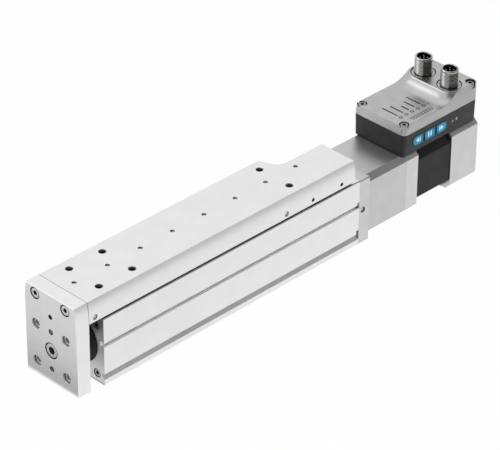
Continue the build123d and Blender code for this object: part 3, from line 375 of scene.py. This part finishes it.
# The two round plugs with their outer threads, in place of the plain cylinders
cover_low, cover_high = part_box("electronics_cover")
plugs_low, plugs_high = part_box("plug_shells")
deck, plug_top, plug_bottom = cover_high[2], plugs_high[2], plugs_low[2]
plug_radius, bore_radius, mouth_radius, stem_radius = 6 * MM, 4.6 * MM, 4.9 * MM, 5.5 * MM
cad_flange_radius = 8.1 * MM
flange_radius, flange_chamfer = 7.8 * MM, 0.1 * MM
flange_top, flange_bottom = deck - 0.3 * MM, deck - 0.8 * MM
recess_radius, recess_floor = plug_radius + 0.75 * MM, flange_top - 0.35 * MM
neck_radius, neck_top = plug_radius - 0.1 * MM, deck + 0.8 * MM
rim_radius, rim_chamfer, mouth_chamfer = plug_radius - 0.5 * MM, 0.4 * MM, 0.3 * MM
root_radius, thread_pitch = plug_radius - 0.45 * MM, 1.0 * MM
crest_start, crest_end = 0.40 * MM, 0.55 * MM
thread_start, thread_end = deck + 1.2 * MM, plug_top - 2.6 * MM
plug_x = (plugs_low[0] + plugs_high[0]) / 2
plug_centres = [(plug_x, plugs_low[1] + cad_flange_radius), (plug_x, plugs_high[1] - cad_flange_radius)]
thread = []
thread_z = thread_start
while thread_z < thread_end:
    thread += [(root_radius, thread_z), (plug_radius, thread_z + crest_start), (plug_radius, thread_z + crest_end)]
    thread_z += thread_pitch
shell_profile = [
    (bore_radius, plug_bottom),
    (stem_radius, plug_bottom),
    (stem_radius, flange_bottom),
    (flange_radius, flange_bottom),
    (flange_radius, flange_top - flange_chamfer),
    (flange_radius - flange_chamfer, flange_top),
    (recess_radius, flange_top),
    (recess_radius, recess_floor),
    (neck_radius, recess_floor),
    (neck_radius, neck_top),
] + thread + [
    (root_radius, thread_z),
    (neck_radius, thread_z + crest_start),
    (neck_radius, plug_top - rim_chamfer),
    (rim_radius, plug_top),
    (mouth_radius, plug_top),
    (bore_radius, plug_top - mouth_chamfer),
]
shells = lathe("plug_shells_threaded", shell_profile, plug_centres, nickel)
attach(shells, "housing")
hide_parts("plug_shells")

# Screw tips under the small holes in the slide's top
slide_low, slide_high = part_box("slide_body")
rail_low, rail_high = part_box("rail_screws")
rail_head_radius = 2.75 * MM
rail_hole_count = 8
first_hole, last_hole = rail_low[0] + rail_head_radius, rail_high[0] - rail_head_radius
rail_pitch = (last_hole - first_hole) / (rail_hole_count - 1)
rail_holes = [(first_hole + step * rail_pitch, 0) for step in range(rail_hole_count)]
tip_radius, tip_flat_radius, tip_chamfer = 1.45 * MM, 1.15 * MM, 0.3 * MM
tip_bottom, tip_top = rail_high[2] - 1 * MM, slide_high[2] - 0.8 * MM
tip_profile = [
    (0, tip_bottom),
    (tip_radius, tip_bottom),
    (tip_radius, tip_top - tip_chamfer),
    (tip_flat_radius, tip_top),
    (0, tip_top),
]
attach(lathe("rail_screw_tips", tip_profile, rail_holes, screw_steel, 24), "slide")

# Painted shade on the walls of the larger, threaded holes, which lie in pairs just behind three of the small ones
thread_offset, thread_y, thread_reach = 7.85 * MM, 13.1 * MM, 2.7 * MM
thread_holes = [(rail_holes[step][0] + thread_offset, side * thread_y) for step in (0, 1, 6) for side in (-1, 1)]


def in_thread(face):
    """Walls and floors of the threaded holes in the slide's top."""
    spot = face.center
    near = any(math.hypot(spot.x - x, spot.y - y) < thread_reach for x, y in thread_holes)
    return near and face.normal.z < 0.95


paint("slide_body", recess_shade_alloy, in_thread)

# Painted shade: the slide's underside, which lies in the dark, is painted black, so that the narrow gap below it
# reads dark too
paint("slide_body", black_insert_and_shade, lambda face: face.normal.z < -0.9 and face.center.z < slide_low[2] + 0.1 * MM)

# Painted shade: dark rings around the sunk heads of the end plate's screws, on the seat walls and on the heads'
# sides, and a dark wall in its small hole
small_hole = (0, 49.2 * MM, 1.75 * MM)
seats = [small_hole]
seat_margin = 0.7 * MM
head_skin, head_height = 0.05 * MM, 4.3 * MM
for name, count, seat_radius in (("end_plate_screws", 2, 4.2 * MM), ("rod_screw", 1, 5.7 * MM)):
    screws_low, screws_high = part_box(name)
    head_radius = seat_radius - seat_margin
    middle_z = (screws_low[2] + screws_high[2]) / 2
    if count == 1:
        seats.append(((screws_low[1] + screws_high[1]) / 2, middle_z, seat_radius))
    else:
        seats += [(y, middle_z, seat_radius) for y in (screws_low[1] + head_radius, screws_high[1] - head_radius)]
    paint(name, recess_shade_alloy, lambda face: head_skin < face.center.x - screws_low[0] < head_height)


def in_seat(face):
    """Walls and floors of the end plate's screw seats and small hole."""
    near = any(math.hypot(face.center.y - y, face.center.z - z) < radius for y, z, radius in seats)
    return near and face.normal.x > -0.95


paint("end_plate", recess_shade_alloy, in_seat)

# Painted shade: a fine black strip stands for the shade in the joint where the end plate meets the slide, up one
# side, over the top and down the other
joint_x = slide_low[0]
half_width = slide_high[1]
shoulder_drop, shoulder_inset = 11 * MM, 1.4 * MM
arc_radius = (shoulder_drop ** 2 + shoulder_inset ** 2) / (2 * shoulder_inset)
arc_steps = 8
edge_line = [(half_width, slide_low[2])]
for step in range(arc_steps + 1):
    rise = shoulder_drop * step / arc_steps
    edge_line.append((half_width - arc_radius + math.sqrt(arc_radius ** 2 - rise ** 2),
                      slide_high[2] - shoulder_drop + rise))
edge_line += [(-y, z) for y, z in reversed(edge_line)]
joint_half, joint_proud = 0.14 * MM, 0.005 * MM
rows = [(joint_x - joint_half, joint_proud), (joint_x + joint_half, joint_proud),
        (joint_x + joint_half, -joint_proud), (joint_x - joint_half, -joint_proud)]
lower_ends = slide_low[2] + 1 * MM  # points below this keep their height
joint_points = []
for y, z in edge_line:
    for x, proud in rows:
        widen = 1 + proud / half_width
        joint_points.append((x, y * widen, z if z < lower_ends else z + proud))
joint_faces = []
for k in range(len(edge_line) - 1):
    for row in range(4):
        nxt = (row + 1) % 4
        joint_faces.append((4 * k + row, 4 * k + nxt, 4 * k + 4 + nxt, 4 * k + 4 + row))
last = 4 * (len(edge_line) - 1)
joint_faces += [(0, 1, 2, 3), (last + 3, last + 2, last + 1, last)]
joint_shade_mesh = bpy.data.meshes.new("plate_joint_shade")
joint_shade_mesh.from_pydata(joint_points, [], joint_faces)
joint_shade_mesh.flip_normals()
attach(add_mesh("plate_joint_shade", joint_shade_mesh, black_rubber), "slide")

# Lamp rings on the cover, with a plain bar beside each, and a long frame with eight cells
lamp_count = 6
lamp_pitch = 5.42 * MM
lamp_x = cover_low[0] + 8.5 * MM
lamp_y = (cover_low[1] + cover_high[1]) / 2 - 11.15 * MM
low_top = cover_low[2] + 6.6 * MM
lamp_places = [(lamp_x + step * lamp_pitch, lamp_y) for step in range(lamp_count)]
ring_inner, ring_outer = 0.7 * MM, 1.4 * MM
ring_profile = [
    (ring_inner, low_top - MARK_HEIGHT),
    (ring_outer, low_top - MARK_HEIGHT),
    (ring_outer, low_top + MARK_HEIGHT),
    (ring_inner, low_top + MARK_HEIGHT),
]
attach(lathe("lamp_rings", ring_profile, lamp_places, print_grey, 24), "housing")


def on_cover(a, b, height):
    """Spot on the cover's low top, from the first lamp ring."""
    return (lamp_x + a, lamp_y + b, low_top + height)


bar_lengths_mm = (13.5, 11.5, 6.5, 9.5, 12.0, 7.5)
bar_start_mm, bar_width = 2.9, 1.25 * MM
lamp_bars = [
    bar(step * lamp_pitch, (bar_start_mm + length / 2) * MM, bar_width, length * MM)
    for step, length in enumerate(bar_lengths_mm)
]
prisms("lamp_bars", lamp_bars, on_cover, print_grey, "housing")
frame_middle, frame_y = 13.4 * MM, -6.0 * MM
frame_length, frame_width, frame_line = 19.6 * MM, 2.1 * MM, 0.5 * MM
frame_cells = 8
frame_bars = [
    bar(frame_middle, frame_y - frame_width / 2, frame_length, frame_line),
    bar(frame_middle, frame_y + frame_width / 2, frame_length, frame_line),
] + [
    bar(frame_middle + k * frame_length / frame_cells, frame_y, frame_line, frame_width - frame_line)
    for k in range(-frame_cells // 2, frame_cells // 2 + 1)
]
prisms("group_frame", frame_bars, on_cover, print_grey, "housing")

# Two plain shapes for the small signs beside the keys
base_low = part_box("electronics_base")[0]
sign_x = base_low[0] + 46.6 * MM
sign_z = base_low[2] + 8.0 * MM
sign_y = base_low[1] + 0.24 * MM
base_lean, base_rise = 0.5, 15.4


def on_base(a, b, height):
    """Spot on the base's near side, which leans out by base_lean over its height, both in millimetres."""
    return (sign_x + a, sign_y - b * base_lean / base_rise - height, sign_z + b)


base_signs = [
    [(-0.2 * MM, -1.0 * MM), (0.9 * MM, 0.9 * MM), (1.6 * MM, -0.7 * MM)],
    bar(4.6 * MM, 0.1 * MM, 1.5 * MM, 2.0 * MM),
]
prisms("base_signs", base_signs, on_base, print_dim, "housing")


def on_key(key):
    """Gives the function that finds a spot on a key's face, from its middle."""
    low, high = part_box(key)
    return lambda a, b, height: ((low[0] + high[0]) / 2 + a, low[1] - height, (low[2] + high[2]) / 2 + b)


# Play and pause signs on the keys, with outlines in millimetres
key_marks = {
    "key_left": [[(-1.7, 0), (0.9, -1.7), (0.9, 1.7)], bar(1.9, 0, 0.7, 3.4)],
    "key_middle": [bar(-1.2, 0, 1.0, 3.4), bar(1.2, 0, 1.0, 3.4)],
    "key_right": [[(1.7, 0), (-0.9, 1.7), (-0.9, -1.7)], bar(-1.9, 0, 0.7, 3.4)],
}
for key, outlines in key_marks.items():
    scaled_marks = [[(a * MM, b * MM) for a, b in outline] for outline in outlines]
    prisms(key + "_mark", scaled_marks, on_key(key), print_pale, key)


def sharp_rays(tree):
    """1 for rays from the camera and for those mirrored or let through, 0 for those that carry soft light."""
    path = tree.nodes.new("ShaderNodeLightPath")
    either = path.outputs["Is Camera Ray"]
    for kind in ("Is Glossy Ray", "Is Transmission Ray"):
        larger = tree.nodes.new("ShaderNodeMath")
        larger.operation = "MAXIMUM"
        tree.links.new(either, larger.inputs[0])
        tree.links.new(path.outputs[kind], larger.inputs[1])
        either = larger.outputs[0]
    return either


def show_mix(tree, share, first, second, output):
    """Mixes two shaders by a share of the second, and sends the mix to the tree's output node."""
    mix = tree.nodes.new("ShaderNodeMixShader")
    for index, socket in enumerate((share, first, second)):
        tree.links.new(socket, mix.inputs[index])
    tree.links.new(mix.outputs[0], tree.nodes[output].inputs["Surface"])


def floor_material(glow_share):
    """Pale floor that reads as white to the camera and to shiny faces, and keeps a soft shadow."""
    mat, tree, shader = new_material("pale_floor")
    grain = noise(tree, 40, detail=2.0)
    tree.links.new(ramp(tree, grain, (0.90, 0.90, 0.90), (0.93, 0.93, 0.93)), shader.inputs["Base Color"])
    shader.inputs["Roughness"].default_value = 0.9
    shader.inputs["Specular IOR Level"].default_value = 0.1
    glow = tree.nodes.new("ShaderNodeEmission")
    glow.inputs["Color"].default_value = (1, 1, 1, 1)
    share = tree.nodes.new("ShaderNodeMath")
    share.operation = "MULTIPLY"
    share.inputs[1].default_value = glow_share
    tree.links.new(sharp_rays(tree), share.inputs[0])
    show_mix(tree, share.outputs[0], shader.outputs[0], glow.outputs[0], "Material Output")
    return mat


def studio_world(light_strength):
    """White to the camera and in mirrored faces, and a dimmer white for soft light."""
    world = bpy.data.worlds.new("studio")
    world.use_nodes = True
    tree = world.node_tree
    light = tree.nodes["Background"]
    white = tree.nodes.new("ShaderNodeBackground")
    for background, strength in ((light, light_strength), (white, 1.0)):
        background.inputs["Color"].default_value = (1, 1, 1, 1)
        background.inputs["Strength"].default_value = strength
    show_mix(tree, sharp_rays(tree), light.outputs[0], white.outputs[0], "World Output")
    return world


def softbox(name, direction, distance, size, power):
    """A large soft lamp that looks at the object from a direction."""
    lamp = bpy.data.lights.new(name, "AREA")
    lamp.shape = "RECTANGLE"
    lamp.size, lamp.size_y = size
    lamp.energy = power
    obj = bpy.data.objects.new(name, lamp)
    towards = Vector(direction).normalized()
    obj.location = LAMP_AIM + towards * distance
    obj.rotation_euler = towards.to_track_quat("Z", "Y").to_euler()
    bpy.context.collection.objects.link(obj)


def flag(name, corners, grey):
    """A dark or grey card that only mirrored light sees, as a studio hangs beside its lamps."""
    mesh = bpy.data.meshes.new(name)
    mesh.from_pydata(corners, [], [(0, 1, 2, 3)])
    mat, _, shader = new_material(name)
    shader.inputs["Base Color"].default_value = (0, 0, 0, 1)
    shader.inputs["Emission Color"].default_value = (grey, grey, grey, 1)
    shader.inputs["Emission Strength"].default_value = 1.0
    card = add_mesh(name, mesh, mat)
    card.visible_camera = False
    card.visible_diffuse = False
    card.visible_shadow = False
    card.visible_transmission = False
    return card


def upright(x_start, x_end, y, top):
    """Corners of an upright card that stands on the floor along the row."""
    return [(x_start, y, 0), (x_end, y, 0), (x_end, y, top), (x_start, y, top)]


def fade_tone(card, start, end, tones):
    """Gives a card a tone that changes along x from start to end, with stops of (place, tone)."""
    tree = card.data.materials[0].node_tree
    place = tree.nodes.new("ShaderNodeTexCoord")
    split = tree.nodes.new("ShaderNodeSeparateXYZ")
    tree.links.new(place.outputs["Object"], split.inputs[0])
    node = tree.nodes.new("ShaderNodeValToRGB")
    node.color_ramp.interpolation = "EASE"
    stops = node.color_ramp.elements
    for position, tone in tones:
        stops.new(position).color = (tone, tone, tone, 1)
    stops.remove(stops[-1])
    stops.remove(stops[0])
    tree.links.new(map_range(tree, split.outputs[0], start, end), node.inputs["Fac"])
    tree.links.new(node.outputs["Color"], tree.nodes["Principled BSDF"].inputs["Emission Color"])


# Floor, background, lamps and cards
bpy.ops.mesh.primitive_plane_add(size=12, location=(0, 0, -0.2 * MM))
floor = bpy.context.object
floor.name = "floor"
floor.data.materials.append(floor_material(0.985))
bpy.context.scene.world = studio_world(0.35)
softbox("lamp_above", (0.25, 0.15, 1), 1.6, (1.8, 1.4), 2)
softbox("lamp_near", (0.3, -1, 0.25), 1.8, (1.8, 1.0), 18)
softbox("lamp_front", (-1, 0.2, 0.3), 1.8, (1.2, 1.0), 4)
softbox("lamp_sweep", (-0.35, 0.60, 0.72), 1.5, (0.6, 0.6), 1.9)
flag("flag_near", upright(-0.5, 2.5, -0.42, 1.5), 0.02)
flag("flag_low", upright(-0.3, 0.6, -0.2, 0.1), 0.02)

# A card on the floor ahead of the end plate, in metres. Its tone rises with the distance, and then falls again
card_start, card_end, card_near, card_far, card_z = -0.134, -1.6, -0.05, 1.2, 2 * MM
floor_corners = [(card_start, card_near, card_z), (card_end, card_near, card_z),
                 (card_end, card_far, card_z), (card_start, card_far, card_z)]
floor_flag = flag("flag_floor", floor_corners, 0.5)
fade_tone(floor_flag, card_start, card_start - 0.2, ((0.0, 0.38), (0.17, 0.66), (1.0, 0.50)))

# Camera at the photograph's place
camera_place = (-1.06375, -1.08547, 1.0305)
azimuth, elevation, roll = math.radians(45.33), math.radians(32.71), math.radians(0.51)
forward = Vector((
    math.cos(elevation) * math.sin(azimuth),
    math.cos(elevation) * math.cos(azimuth),
    -math.sin(elevation),
))
right = Vector((math.cos(azimuth), -math.sin(azimuth), 0))
up = right.cross(forward)
x_axis = right * math.cos(roll) + up * math.sin(roll)
y_axis = up * math.cos(roll) - right * math.sin(roll)
turn = Matrix((x_axis, y_axis, -forward)).transposed()
camera_data = bpy.data.cameras.new("camera")
camera_data.sensor_width = 36
camera_data.lens = 211.2
camera_data.clip_end = 20
camera = bpy.data.objects.new("camera", camera_data)
bpy.context.collection.objects.link(camera)
camera.matrix_world = Matrix.Translation(camera_place) @ turn.to_4x4()
bpy.context.scene.camera = camera

bpy.context.scene.view_settings.view_transform = "Standard"
